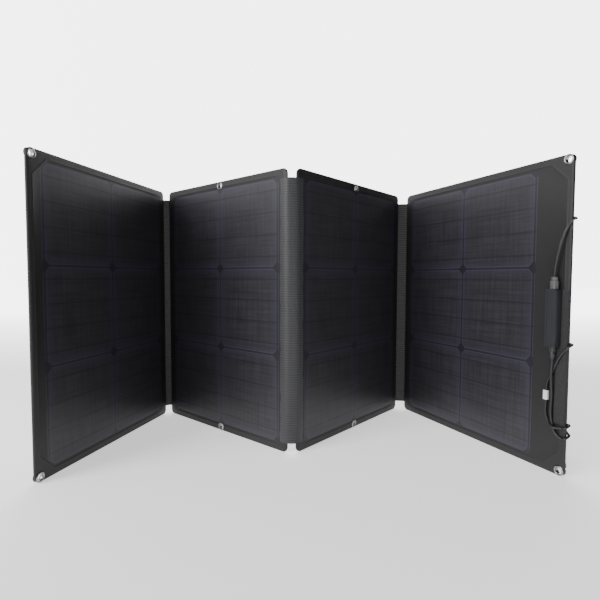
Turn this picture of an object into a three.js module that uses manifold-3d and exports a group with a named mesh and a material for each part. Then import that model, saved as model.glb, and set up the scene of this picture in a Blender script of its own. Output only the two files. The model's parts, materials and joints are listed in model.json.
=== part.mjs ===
// Folding solar blanket: four stiff solar panels in fabric covers, joined by soft fold strips, with
// an inline controller and its leads on the outer margin of the last panel. It stands zig-zag on
// its lower edges. Millimetres, +Z up, and the panels' front faces look towards -Y.
//
// Every panel and fold strip has a frame of its own: u runs along it from its left edge, z runs up,
// and t is the distance in front of its middle plane. In that frame a point is (u, -t, z).

import * as THREE from "three";
import { mergeVertices } from "three/addons/utils/BufferGeometryUtils.js";
import Module from "manifold-3d";

// ---- Driving dimensions: solar cells and panels ----

const CELL_SIDE = 156.75;
const CELL_GAP = 3;
const CELL_CORNER_CUT = 8.5;
const CELL_COLUMNS = 2;
const CELL_ROWS = 3;
const BUSBARS = 4;
const BUSBAR_WIDTH = 1.6;

const PANEL_HEIGHT = 510;
const WINDOW_WIDTH = 326;
const WINDOW_HEIGHT = 480;
const WINDOW_RADIUS = 8;
const FOLD_MARGIN = 19.5;
const LEFT_MARGIN = 24;
const RIGHT_MARGIN = 61;
const OUTER_RADIUS = 10;
const FOLD_RADIUS = 7;

// Board, inset from the panel's outline, with cut corners that leave room for the corner eyelets.
const BOARD_INSET = 9.5;
const BOARD_FOLD_INSET = 4;
const BOARD_TOP_INSET = 12;
const BOARD_CORNER_CUT = 28;
const BOARD_FOLD_RADIUS = 8;
const BOARD_EYELET_NOTCH = 9;

// Layers of a panel, as distances in front of its middle plane.
const BACK_FACE = -3;
const BACK_POCKET = -1.4;
const BACK_RIM = 0.8;
const BOARD_BACK = -1.1;
const BOARD_FRONT = 0.8;
const CELL_BACK = 1.0;
const CELL_FRONT = 1.3;
const FILM_BACK = 1.55;
const FILM_FRONT = 2.5;
const COVER_BACK = 1.1;
const FRONT_FACE = 3;

// ---- Driving dimensions: eyelets ----

const EYELET_INSET = 8.5;
const EYELET_HOLE_RADIUS = 5.2;
const EYELET_BARREL_RADIUS = 5.6;
const EYELET_FLANGE_RADIUS = 8.1;
const EYELET_FLANGE_THICKNESS = 0.9;
const EYELET_COVER_HOLE_RADIUS = 6;

// ---- Driving dimensions: folds ----

// Turns at the three folds, from one panel's heading to the next: valleys are negative.
const FIRST_HEADING = 75.7;
const FOLD_TURNS = [-116.3, 89.8, -114.9];
const STRIP_WIDTHS = [16, 16, 24];
const STRIP_END_NOTCH = 17.5;
const STRIP_THICKNESS = 2.4;
const CREASE_GAP = 0.5;
const CREASE_OFFSET = 0.4;
const LINK_LEAD_Z = 120;
const LINK_LEAD_WIDTH = 8;
const LINK_LEAD_THICKNESS = 0.6;

// ---- Driving dimensions: controller, leads and connector, in the last panel's frame ----

const BOX_LEFT = 377;
const BOX_RIGHT = 395;
const BOX_BOTTOM = 208;
const BOX_TOP = 300;
const BOX_BACK = 4.5;
const BOX_SPLIT = 14;
const BOX_FRONT = 18.5;
const BOX_WALL = 1.6;
const BOX_RADIUS = 2.5;
const LID_RECESS_INSET = 3;
const LID_RECESS_DEPTH = 0.5;
const TAPE = { left: 387.5, bottom: 84, right: 405.5, top: 299, thickness: 0.9 };
const GLAND_STUB_RADIUS = 2.6;
const GLAND_LENGTH = 19.7;
const GLAND_T = 10.5;

const LEAD_DIAMETER = 4;
const LEAD_SIDES = 8;
const LEAD_STEP = 8;
const COIL_CENTRE_U = 316;
const COIL_CENTRE_BEHIND = 62;
const COIL_INNER_RADIUS = 15;
const COIL_OUTER_RADIUS = 31;
const COIL_BOTTOM = 1.3;
const COIL_HEIGHT = 16;

// ---- General ----

const GAP = 0.3;
const OVERRUN = 1;
const ARC_STEPS = 3;
const ROUND_SIDES = 16;

const wasm = await Module();
wasm.setup();

// ---- Colours and finishes ----

const FINISHES = {
  cover: { color: 0x34363a, roughness: 0.85, metalness: 0 },
  back: { color: 0x2b2d30, roughness: 0.9, metalness: 0 },
  strip: { color: 0x3b3d3f, roughness: 0.9, metalness: 0 },
  film: { color: 0x24222e, roughness: 0.35, metalness: 0 },
  cell: { color: 0x14131f, roughness: 0.4, metalness: 0.1 },
  board: { color: 0x4a4d42, roughness: 0.8, metalness: 0 },
  eyelet: { color: 0xb9bbbe, roughness: 0.3, metalness: 1 },
  casing: { color: 0x1b1b1e, roughness: 0.55, metalness: 0 },
  circuit: { color: 0x1d4a2c, roughness: 0.5, metalness: 0 },
  tape: { color: 0x3a3b3f, roughness: 1, metalness: 0 },
  lead: { color: 0x1a1a1c, roughness: 0.5, metalness: 0 },
  tag: { color: 0xe9e9ea, roughness: 0.6, metalness: 0 },
};

function addPart(parent, name, finish, geometry) {
  geometry.computeVertexNormals();
  const mesh = new THREE.Mesh(geometry, new THREE.MeshStandardMaterial(FINISHES[finish]));
  mesh.name = name;
  parent.add(mesh);
}

// ---- Solid helpers ----

function toSolid(geometry) {
  const bare = geometry.clone();
  bare.deleteAttribute("normal");
  bare.deleteAttribute("uv");
  const merged = mergeVertices(bare, 1e-4);
  const vertProperties = new Float32Array(merged.attributes.position.array);
  const triVerts = new Uint32Array(merged.index.array);
  return new wasm.Manifold(new wasm.Mesh({ numProp: 3, vertProperties, triVerts }));
}

function toGeometry(solid) {
  const { vertProperties, triVerts } = solid.getMesh();
  const geometry = new THREE.BufferGeometry();
  geometry.setAttribute("position", new THREE.BufferAttribute(vertProperties, 3));
  geometry.setIndex(new THREE.BufferAttribute(triVerts, 1));
  return geometry;
}

function cutFrom(geometry, tools) {
  return toGeometry(tools.reduce((solid, tool) => solid.subtract(toSolid(tool)), toSolid(geometry)));
}

function join(geometries) {
  return toGeometry(geometries.map(toSolid).reduce((whole, solid) => whole.add(solid)));
}

// A rectangle in u and z. Sizes are its corners, from bottom left and anticlockwise: radii, or
// the legs of straight cuts.
function rectangle(left, bottom, right, top, sizes, straightCuts = false) {
  const [bottomLeft, bottomRight, topRight, topLeft] = sizes;
  const shape = new THREE.Shape();
  const corner = (u, z, size, quarter) => {
    const start = (quarter * Math.PI) / 2;
    const end = start + Math.PI / 2;
    if (straightCuts) shape.lineTo(u + size * Math.cos(end), z + size * Math.sin(end));
    else shape.absarc(u, z, size, start, end);
  };
  shape.moveTo(left + bottomLeft, bottom);
  shape.lineTo(right - bottomRight, bottom);
  corner(right - bottomRight, bottom + bottomRight, bottomRight, -1);
  shape.lineTo(right, top - topRight);
  corner(right - topRight, top - topRight, topRight, 0);
  shape.lineTo(left + topLeft, top);
  corner(left + topLeft, top - topLeft, topLeft, 1);
  shape.lineTo(left, bottom + bottomLeft);
  corner(left + bottomLeft, bottom + bottomLeft, bottomLeft, 2);
  return shape;
}

function allCorners(size) {
  return [size, size, size, size];
}

// A flat piece whose outline lies in u and z, between two distances t.
function plate(shape, back, front) {
  const options = { depth: front - back, bevelEnabled: false, curveSegments: ARC_STEPS };
  return new THREE.ExtrudeGeometry(shape, options).translate(0, 0, back).rotateX(Math.PI / 2);
}

function block(left, right, back, front, bottom, top) {
  const box = new THREE.BoxGeometry(right - left, front - back, top - bottom);
  return box.translate((left + right) / 2, -(back + front) / 2, (bottom + top) / 2);
}

// A round bar through the panel, or along z.
function barThrough(u, z, radius, back, front) {
  const bar = new THREE.CylinderGeometry(radius, radius, front - back, ROUND_SIDES);
  return bar.translate(u, -(back + front) / 2, z);
}

function barUp(u, t, radius, bottom, top) {
  const bar = new THREE.CylinderGeometry(radius, radius, top - bottom, ROUND_SIDES).rotateX(Math.PI / 2);
  return bar.translate(u, -t, (bottom + top) / 2);
}

// A turned piece whose profile is a list of [radius, distance along its axis].
function turned(profile, sides = ROUND_SIDES) {
  return new THREE.LatheGeometry(profile.map(([r, along]) => new THREE.Vector2(r, along)), sides);
}

// ---- Panel layout ----

const PANELS = [
  { window: LEFT_MARGIN, right: LEFT_MARGIN + WINDOW_WIDTH + FOLD_MARGIN },
  { window: FOLD_MARGIN, right: FOLD_MARGIN + WINDOW_WIDTH + FOLD_MARGIN },
  { window: FOLD_MARGIN, right: FOLD_MARGIN + WINDOW_WIDTH + FOLD_MARGIN },
  { window: FOLD_MARGIN, right: FOLD_MARGIN + WINDOW_WIDTH + RIGHT_MARGIN },
];

const FIRST = 0;
const LAST = PANELS.length - 1;
const WINDOW_BOTTOM = (PANEL_HEIGHT - WINDOW_HEIGHT) / 2;
const EYELET_BOTTOM = EYELET_INSET;
const EYELET_TOP = PANEL_HEIGHT - EYELET_INSET;

// Outer panels have their eyelets in the outer corners, inner panels in the middle of their edges.
function eyeletU(index) {
  if (index === FIRST) return EYELET_INSET;
  if (index === LAST) return PANELS[LAST].right - EYELET_INSET;
  return PANELS[index].window + WINDOW_WIDTH / 2;
}

// Left and right ends of a panel's material. At a fold it stops just short of the crease.
function panelEnds(index) {
  const left = index === FIRST ? 0 : CREASE_GAP;
  const right = PANELS[index].right - (index === LAST ? 0 : CREASE_GAP);
  return [left, right];
}

function panelOutline(index) {
  const [left, right] = panelEnds(index);
  const leftRadius = index === FIRST ? OUTER_RADIUS : FOLD_RADIUS;
  const rightRadius = index === LAST ? OUTER_RADIUS : FOLD_RADIUS;
  return rectangle(left, 0, right, PANEL_HEIGHT, [leftRadius, rightRadius, rightRadius, leftRadius]);
}

// ---- Panel pieces ----

function eyeletBars(index, radius) {
  const u = eyeletU(index);
  const reach = EYELET_FLANGE_RADIUS;
  return [EYELET_BOTTOM, EYELET_TOP].map((z) => barThrough(u, z, radius, -reach, reach));
}

// The board's outline, grown on all sides by a margin for the pocket that holds it.
function boardSolid(index, back, front, grow) {
  const [left, right] = panelEnds(index);
  const leftInset = (index === FIRST ? BOARD_INSET : BOARD_FOLD_INSET) - grow;
  const rightInset = (index === LAST ? BOARD_INSET : BOARD_FOLD_INSET) - grow;
  const leftCut = index === FIRST ? BOARD_CORNER_CUT : BOARD_FOLD_RADIUS;
  const rightCut = index === LAST ? BOARD_CORNER_CUT : BOARD_FOLD_RADIUS;
  const bottom = BOARD_TOP_INSET - grow;
  const cuts = [leftCut, rightCut, rightCut, leftCut];
  const outline = rectangle(
    left + leftInset, bottom, right - rightInset, PANEL_HEIGHT - bottom, cuts, true,
  );
  return cutFrom(plate(outline, back, front), eyeletBars(index, BOARD_EYELET_NOTCH - grow));
}

function backCover(index) {
  const rim = plate(panelOutline(index), BACK_FACE, BACK_RIM);
  const pocket = boardSolid(index, BACK_POCKET, BACK_RIM + OVERRUN, GAP);
  return cutFrom(rim, [pocket, ...eyeletBars(index, EYELET_COVER_HOLE_RADIUS)]);
}

function frontCover(index) {
  const { window } = PANELS[index];
  const bottom = WINDOW_BOTTOM - GAP;
  const sides = [window - GAP, bottom, window + WINDOW_WIDTH + GAP, PANEL_HEIGHT - bottom];
  const opening = plate(rectangle(...sides, allCorners(WINDOW_RADIUS)), 0, FRONT_FACE + OVERRUN);
  const sheet = plate(panelOutline(index), COVER_BACK, FRONT_FACE);
  return cutFrom(sheet, [opening, ...eyeletBars(index, EYELET_COVER_HOLE_RADIUS)]);
}

function film(index) {
  const { window } = PANELS[index];
  const sides = [window, WINDOW_BOTTOM, window + WINDOW_WIDTH, PANEL_HEIGHT - WINDOW_BOTTOM];
  return plate(rectangle(...sides, allCorners(WINDOW_RADIUS)), FILM_BACK, FILM_FRONT);
}

// One row of cells with cut corners, soldered side by side with the ribbons that cross their gap.
function cellRow(index, row) {
  const pitch = CELL_SIDE + CELL_GAP;
  const cellsWidth = CELL_COLUMNS * pitch - CELL_GAP;
  const cellsHeight = CELL_ROWS * pitch - CELL_GAP;
  const left = PANELS[index].window + (WINDOW_WIDTH - cellsWidth) / 2;
  const bottom = (PANEL_HEIGHT - cellsHeight) / 2 + row * pitch;
  const pieces = [];
  for (let column = 0; column < CELL_COLUMNS; column += 1) {
    const cellLeft = left + column * pitch;
    const sides = [cellLeft, bottom, cellLeft + CELL_SIDE, bottom + CELL_SIDE];
    pieces.push(plate(rectangle(...sides, allCorners(CELL_CORNER_CUT), true), CELL_BACK, CELL_FRONT));
  }
  const gapLeft = left + CELL_SIDE - OVERRUN;
  const gapRight = left + pitch + OVERRUN;
  for (let busbar = 0; busbar < BUSBARS; busbar += 1) {
    const z = bottom + (CELL_SIDE * (busbar + 0.5)) / BUSBARS;
    pieces.push(block(gapLeft, gapRight, CELL_BACK, CELL_FRONT, z - BUSBAR_WIDTH / 2, z + BUSBAR_WIDTH / 2));
  }
  return join(pieces);
}

// A rolled eyelet: a barrel through both covers with a flange on each side.
function eyelet(u, z) {
  const inner = FRONT_FACE + GAP;
  const outer = inner + EYELET_FLANGE_THICKNESS;
  const lip = EYELET_FLANGE_RADIUS - EYELET_FLANGE_THICKNESS / 2;
  const profile = [
    [EYELET_HOLE_RADIUS, -outer],
    [lip, -outer],
    [EYELET_FLANGE_RADIUS, -inner],
    [EYELET_BARREL_RADIUS, -inner],
    [EYELET_BARREL_RADIUS, inner],
    [EYELET_FLANGE_RADIUS, inner],
    [lip, outer],
    [EYELET_HOLE_RADIUS, outer],
    [EYELET_HOLE_RADIUS, -outer],
  ];
  return turned(profile).translate(u, 0, z);
}

function addPanel(parent, index) {
  const number = index + 1;
  addPart(parent, `back_cover_${number}`, "back", backCover(index));
  addPart(parent, `board_${number}`, "board", boardSolid(index, BOARD_BACK, BOARD_FRONT, 0));
  for (let row = 0; row < CELL_ROWS; row += 1) {
    addPart(parent, `cell_row_${number}_${row + 1}`, "cell", cellRow(index, row));
  }
  addPart(parent, `laminate_${number}`, "film", film(index));
  addPart(parent, `front_cover_${number}`, "cover", frontCover(index));
  addPart(parent, `eyelet_${number}_bottom`, "eyelet", eyelet(eyeletU(index), EYELET_BOTTOM));
  addPart(parent, `eyelet_${number}_top`, "eyelet", eyelet(eyeletU(index), EYELET_TOP));
}

// ---- Fold strips ----

// A valley's strip is set back and a peak's strip forward, on the outside of the closed fold.
function stripSide(index) {
  return FOLD_TURNS[index] < 0 ? -1 : 1;
}

function foldStrip(index) {
  const side = stripSide(index);
  const outside = side * FRONT_FACE;
  const inside = side * (FRONT_FACE - STRIP_THICKNESS);
  const middle = (outside + inside) / 2;
  const width = STRIP_WIDTHS[index];
  const sides = [CREASE_GAP, STRIP_END_NOTCH, width - CREASE_GAP, PANEL_HEIGHT - STRIP_END_NOTCH];
  const outline = rectangle(...sides, allCorners(1));
  const strip = plate(outline, Math.min(outside, inside), Math.max(outside, inside));
  const halfThickness = LINK_LEAD_THICKNESS / 2 + GAP;
  const halfWidth = LINK_LEAD_WIDTH / 2 + GAP;
  const channel = block(
    -OVERRUN, width + OVERRUN,
    middle - halfThickness, middle + halfThickness,
    LINK_LEAD_Z - halfWidth, LINK_LEAD_Z + halfWidth,
  );
  return cutFrom(strip, [channel]);
}

// The flat lead that links two panels inside the fold, along its stretch within the strip.
function linkLead(index) {
  const side = stripSide(index);
  const middle = side * (FRONT_FACE - STRIP_THICKNESS / 2);
  const half = LINK_LEAD_THICKNESS / 2;
  const [bottom, top] = [LINK_LEAD_Z - LINK_LEAD_WIDTH / 2, LINK_LEAD_Z + LINK_LEAD_WIDTH / 2];
  return block(CREASE_GAP, STRIP_WIDTHS[index] - CREASE_GAP, middle - half, middle + half, bottom, top);
}

function addStrip(parent, index) {
  addPart(parent, `hinge_strip_${index + 1}`, "strip", foldStrip(index));
  addPart(parent, `link_lead_${index + 1}`, "lead", linkLead(index));
}

// ---- Controller on the last panel ----

const BOX_MIDDLE_U = (BOX_LEFT + BOX_RIGHT) / 2;

function boxOutline(inset) {
  const sides = [BOX_LEFT + inset, BOX_BOTTOM + inset, BOX_RIGHT - inset, BOX_TOP - inset];
  return rectangle(...sides, allCorners(BOX_RADIUS - inset / 2));
}

function controllerBase() {
  const shell = plate(boxOutline(0), BOX_BACK, BOX_SPLIT);
  const inside = plate(boxOutline(BOX_WALL), BOX_BACK + BOX_WALL, BOX_SPLIT + OVERRUN);
  const glandHoles = barUp(
    BOX_MIDDLE_U, GLAND_T, GLAND_STUB_RADIUS + GAP, BOX_BOTTOM - OVERRUN, BOX_TOP + OVERRUN,
  );
  return cutFrom(shell, [inside, glandHoles]);
}

// The lid has a shallow recess in its front, and a hollow inside.
function controllerLid() {
  const lid = plate(boxOutline(0), BOX_SPLIT + GAP, BOX_FRONT);
  const hollow = plate(boxOutline(BOX_WALL), BOX_SPLIT, BOX_FRONT - BOX_WALL - LID_RECESS_DEPTH);
  const recess = plate(boxOutline(LID_RECESS_INSET), BOX_FRONT - LID_RECESS_DEPTH, BOX_FRONT + OVERRUN);
  return cutFrom(lid, [hollow, recess]);
}

function circuitBoard() {
  const sideRoom = 2.4;
  const endRoom = 7;
  const back = BOX_BACK + BOX_WALL + 1.4;
  const [left, right] = [BOX_LEFT + sideRoom, BOX_RIGHT - sideRoom];
  return block(left, right, back, back + 1.6, BOX_BOTTOM + endRoom, BOX_TOP - endRoom);
}

// Cable glands, turned about their axis from the casing's wall outwards: a stub through the wall,
// then a wide nut with a collar at the top gland, and a slimmer tapered body at the bottom one.
const GLAND_STUB_LENGTH = 3.5;
const GLAND_STUB = [
  [0, -GLAND_STUB_LENGTH],
  [GLAND_STUB_RADIUS, -GLAND_STUB_LENGTH],
  [GLAND_STUB_RADIUS, 0],
];
const TOP_GLAND = [
  ...GLAND_STUB,
  [6.4, 0],
  [6.4, 13],
  [5, 13.6],
  [5, 19],
  [3.4, GLAND_LENGTH],
  [0, GLAND_LENGTH],
];
const BOTTOM_GLAND = [
  ...GLAND_STUB,
  [5.2, 0],
  [5.2, 8],
  [4.4, 9.5],
  [4.2, 15],
  [3.2, GLAND_LENGTH],
  [0, GLAND_LENGTH],
];

function addController(parent) {
  addPart(parent, "controller_base", "casing", controllerBase());
  addPart(parent, "controller_lid", "casing", controllerLid());
  addPart(parent, "circuit_board", "circuit", circuitBoard());
  const topGland = turned(TOP_GLAND).rotateX(Math.PI / 2);
  const bottomGland = turned(BOTTOM_GLAND).rotateX(-Math.PI / 2);
  addPart(parent, "gland_top", "casing", topGland.translate(BOX_MIDDLE_U, -GLAND_T, BOX_TOP + GAP));
  addPart(parent, "gland_bottom", "casing", bottomGland.translate(BOX_MIDDLE_U, -GLAND_T, BOX_BOTTOM - GAP));
  const { left, bottom, right, top, thickness } = TAPE;
  const tapeBack = FRONT_FACE + GAP;
  const tape = plate(rectangle(left, bottom, right, top, allCorners(1)), tapeBack, tapeBack + thickness);
  addPart(parent, "hook_loop_tape", "tape", tape);
}

// ---- Junction box on the back of the last panel ----

const JUNCTION = { left: 366, bottom: 340, right: 394, top: 396, radius: 4, wall: 1.6 };
const JUNCTION_SPLIT = -9.5;
const JUNCTION_BACK = -11.3;
const BOSS = { u: 378, t: -6.4, radius: 2.8, length: 6 };

function addJunctionBox(parent) {
  const { left, bottom, right, top, radius, wall } = JUNCTION;
  const front = BACK_FACE - GAP;
  const outline = rectangle(left, bottom, right, top, allCorners(radius));
  const shell = plate(outline, JUNCTION_SPLIT, front);
  const boss = barUp(BOSS.u, BOSS.t, BOSS.radius, top - wall / 2, top + BOSS.length);
  const room = rectangle(left + wall, bottom + wall, right - wall, top - wall, allCorners(radius - 1));
  const inside = plate(room, JUNCTION_SPLIT - OVERRUN, front - wall);
  addPart(parent, "junction_box", "casing", cutFrom(join([shell, boss]), [inside]));
  addPart(parent, "junction_box_lid", "casing", plate(outline, JUNCTION_BACK, JUNCTION_SPLIT - GAP));
}

// ---- Leads ----

const LEAD_RADIUS = LEAD_DIAMETER / 2;

// Input lead, as [u, t, z]: up from the junction box, round the outer edge and down to the top gland.
const INPUT_ROUTE = [
  [378, -6.4, 402.5],
  [378.2, -6.6, 406.6],
  [380.4, -7.2, 411.4],
  [386, -7.8, 414.6],
  [392.6, -8.2, 414.8],
  [399.4, -8.3, 413],
  [405.4, -7.3, 411.2],
  [409.5, -3.4, 409.8],
  [410.4, 1.4, 408.6],
  [407.9, 5.8, 406.8],
  [403.4, 8.4, 401.4],
  [399.6, 10, 391],
  [395.4, 11, 374],
  [391, 11.4, 355],
  [387.6, 11.2, 338],
  [386, 10.5, 327],
  [386, 10.5, 320.3],
];

// Output lead, as [u, t, z]: down from the bottom gland, round the outer edge to the back, up and
// round the edge to the front again, through the tag, round the edge once more, and down to the
// coil on the ground behind the panel.
const OUTPUT_ROUTE = [
  [386, 10.5, 187.7],
  [386, 10.5, 180],
  [385.4, 11.2, 169],
  [384.6, 9.8, 155],
  [384, 7.2, 141],
  [383.8, 5.9, 128],
  [383.2, 5.5, 117],
  [382.6, 5.5, 106],
  [383.4, 5.5, 94],
  [386.2, 5.5, 81],
  [390.2, 5.6, 70.5],
  [396.5, 5.8, 64.8],
  [402.8, 7.7, 62.6],
  [407.9, 5.8, 63.8],
  [410.4, 1.4, 65.4],
  [409.5, -3.4, 67.2],
  [405.4, -7.3, 70],
  [400.2, -8.2, 75.6],
  [395.4, -7.8, 83.6],
  [391, -7, 97],
  [388.4, -6.3, 112],
  [387.5, -6.3, 128],
  [387.5, -6.3, 150],
  [387.5, -6.3, 172],
  [388.4, -6.6, 190],
  [391, -7.2, 201],
  [395, -8, 209.4],
  [400.2, -8.3, 213.4],
  [405.4, -7.3, 213.6],
  [409.5, -3.4, 212.6],
  [410.4, 1.4, 211.2],
  [407.9, 5.8, 208.6],
  [402.6, 7.8, 203.4],
  [397, 7.4, 194.5],
  [392, 7, 184.5],
  [387, 6.6, 173.5],
  [382.6, 5.6, 164],
  [377.8, 5.5, 155],
  [374.9, 6, 145],
  [374.5, 6.4, 136],
  [374.5, 6.4, 127],
  [374.5, 6.4, 117],
  [374.1, 6.1, 108],
  [374, 5.7, 99],
  [376.2, 5.8, 90],
  [380.8, 7.6, 83.4],
  [386.4, 9.7, 79.6],
  [392.6, 9.9, 78.2],
  [399.4, 8.9, 78.6],
  [405.4, 7.6, 80],
  [409.8, 3.6, 81.8],
  [410.4, -1.4, 83.4],
  [407.9, -6.2, 84.6],
  [403.2, -9.6, 84],
  [398.6, -11.6, 80],
  [395.4, -12.8, 72.4],
  [393.6, -13.4, 62],
  [392, -13.8, 48],
  [391.6, -15.4, 34],
  [391.2, -19.5, 19],
  [389, -26, 7.4],
  [383.5, -31.5, 2.7],
  [375, -34.5, 2.2],
  [364, -35, 2.2],
  [352, -34, 2.6],
  [342, -33.2, 3],
  [333, -33, 3.3],
];

// The end of the output lead, from the top of the coil down to the plug.
const TAIL_ROUTE = [
  [287, -79, 14.6],
  [287, -88, 11.6],
  [287.3, -98, 7.6],
  [288, -107, 6.1],
  [288, -114, 6],
];

function leadTube(route) {
  const path = new THREE.CatmullRomCurve3(route.map(([u, t, z]) => new THREE.Vector3(u, -t, z)));
  const section = new THREE.Shape();
  for (let side = 0; side < LEAD_SIDES; side += 1) {
    const angle = (2 * Math.PI * side) / LEAD_SIDES;
    const [x, y] = [LEAD_RADIUS * Math.cos(angle), LEAD_RADIUS * Math.sin(angle)];
    if (side === 0) section.moveTo(x, y);
    else section.lineTo(x, y);
  }
  const steps = Math.ceil(path.getLength() / LEAD_STEP);
  return new THREE.ExtrudeGeometry(section, { steps, extrudePath: path, bevelEnabled: false });
}

// A blank tag pressed round the lead, as a flat sleeve.
const TAG = { u: 374.5, t: 6.4, bottom: 119.5, top: 134.5, halfWidth: 3.8, halfThickness: 2.9 };

function leadTag() {
  const { u, t, bottom, top, halfWidth, halfThickness } = TAG;
  const section = rectangle(-halfWidth, -halfThickness, halfWidth, halfThickness, allCorners(1));
  section.holes.push(new THREE.Path().absarc(0, 0, LEAD_RADIUS + GAP, 0, 2 * Math.PI));
  const options = { depth: top - bottom, bevelEnabled: false, curveSegments: 2 * ARC_STEPS };
  return new THREE.ExtrudeGeometry(section, options).translate(u, -t, bottom);
}

// A sewn strap on the panel's back that holds the lead: two flanges and an arch over it.
const KEEPER = { u: 387.5, bottom: 120, top: 140, strap: 0.8, halfRoom: 2.6, flange: 7, height: 5.4 };

function leadKeeper() {
  const { u, bottom, top, strap, halfRoom, flange, height } = KEEPER;
  const inner = -BACK_FACE + GAP;
  const crown = inner + height;
  const outline = [
    [-flange, inner],
    [-halfRoom, inner],
    [-halfRoom, crown],
    [halfRoom, crown],
    [halfRoom, inner],
    [flange, inner],
    [flange, inner + strap],
    [halfRoom + strap, inner + strap],
    [halfRoom + strap, crown + strap],
    [-halfRoom - strap, crown + strap],
    [-halfRoom - strap, inner + strap],
    [-flange, inner + strap],
  ];
  const section = new THREE.Shape(outline.map(([across, behind]) => new THREE.Vector2(across, behind)));
  const options = { depth: top - bottom, bevelEnabled: false };
  return new THREE.ExtrudeGeometry(section, options).translate(u, 0, bottom);
}

function leadCoil() {
  const top = COIL_BOTTOM + COIL_HEIGHT;
  const ring = turned([
    [COIL_INNER_RADIUS, COIL_BOTTOM],
    [COIL_OUTER_RADIUS, COIL_BOTTOM],
    [COIL_OUTER_RADIUS, top],
    [COIL_INNER_RADIUS, top],
    [COIL_INNER_RADIUS, COIL_BOTTOM],
  ], 2 * ROUND_SIDES);
  return ring.rotateX(Math.PI / 2).translate(COIL_CENTRE_U, COIL_CENTRE_BEHIND, 0);
}

// The tie is a flat band round the coil's turns, on the side away from the lead's ends.
function coilTie() {
  const width = 7;
  const band = 0.7;
  const room = 0.6;
  const angle = THREE.MathUtils.degToRad(35);
  const [inner, outer] = [COIL_INNER_RADIUS - 2 * room, COIL_OUTER_RADIUS + room];
  const [bottom, top] = [COIL_BOTTOM - GAP, COIL_BOTTOM + COIL_HEIGHT + GAP];
  const section = rectangle(inner - band, bottom - band, outer + band, top + band, allCorners(1.2));
  section.holes.push(rectangle(inner, bottom, outer, top, allCorners(0.5)));
  const loop = plate(section, -width / 2, width / 2);
  return loop.rotateZ(angle).translate(COIL_CENTRE_U, COIL_CENTRE_BEHIND, 0);
}

// Plug: a moulded body with a tapered sleeve for the lead, and a plated barrel with a pin hole.
const PLUG_U = 288;
const PLUG_BEHIND = 114.3;
const PLUG_Z = 6;
const PLUG_LENGTH = 38;
const PLUG_RADIUS = 5.5;

function plugBody() {
  const body = turned([
    [0, 0],
    [2.8, 0],
    [3.6, 12],
    [PLUG_RADIUS, 14],
    [PLUG_RADIUS, PLUG_LENGTH - 1.5],
    [PLUG_RADIUS - 1.5, PLUG_LENGTH],
    [0, PLUG_LENGTH],
  ]);
  return body.translate(PLUG_U, PLUG_BEHIND, PLUG_Z);
}

function plugBarrel() {
  const length = 9.5;
  const [pinHoleRadius, radius] = [1.05, 2.75];
  const barrel = turned([
    [pinHoleRadius, 0],
    [radius, 0],
    [radius, length],
    [pinHoleRadius, length],
    [pinHoleRadius, 0],
  ]);
  return barrel.translate(PLUG_U, PLUG_BEHIND + PLUG_LENGTH + GAP, PLUG_Z);
}

function addLeads(parent) {
  addPart(parent, "input_lead", "lead", leadTube(INPUT_ROUTE));
  addPart(parent, "output_lead", "lead", leadTube(OUTPUT_ROUTE));
  addPart(parent, "lead_tag", "tag", leadTag());
  addPart(parent, "lead_keeper", "tape", leadKeeper());
  addPart(parent, "lead_coil", "lead", leadCoil());
  addPart(parent, "coil_tie", "tape", coilTie());
  addPart(parent, "lead_tail", "lead", leadTube(TAIL_ROUTE));
  addPart(parent, "plug_body", "casing", plugBody());
  addPart(parent, "plug_barrel", "eyelet", plugBarrel());
}

// ---- Assembly: panels and strips chained at their creases ----

// A frame that turns about the crease at distance u along its parent, by half of the fold's turn.
function beyondCrease(parent, u, fold, name) {
  const crease = new THREE.Group();
  crease.name = name;
  const offset = stripSide(fold) * CREASE_OFFSET;
  crease.position.set(u, -offset, 0);
  crease.rotation.z = THREE.MathUtils.degToRad(FOLD_TURNS[fold] / 2);
  const frame = new THREE.Group();
  frame.position.y = offset;
  crease.add(frame);
  parent.add(crease);
  return frame;
}

const blanket = new THREE.Group();
blanket.rotation.z = THREE.MathUtils.degToRad(FIRST_HEADING);

let frame = blanket;
PANELS.forEach((panel, index) => {
  addPanel(frame, index);
  if (index === LAST) return;
  frame = beyondCrease(frame, panel.right, index, `fold_${index + 1}_left`);
  addStrip(frame, index);
  frame = beyondCrease(frame, STRIP_WIDTHS[index], index, `fold_${index + 1}_right`);
});
const lastPanel = frame;
addController(lastPanel);
addJunctionBox(lastPanel);

// The origin is on the ground, under the middle of the blanket without its leads.
const box = new THREE.Box3().setFromObject(blanket, true);
const middle = box.getCenter(new THREE.Vector3());
blanket.position.set(-middle.x, -middle.y, 0);
addLeads(lastPanel);

export default blanket;
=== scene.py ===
"""Looks of the folding solar blanket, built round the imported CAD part.

Panels and fold strips each have a frame of their own, in millimetres: u runs along the piece from
its left edge, t is the distance in front of its middle plane, and z is up.
"""

import json
import math

import bmesh
import bpy
from mathutils import Matrix, Vector, geometry, noise


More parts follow.
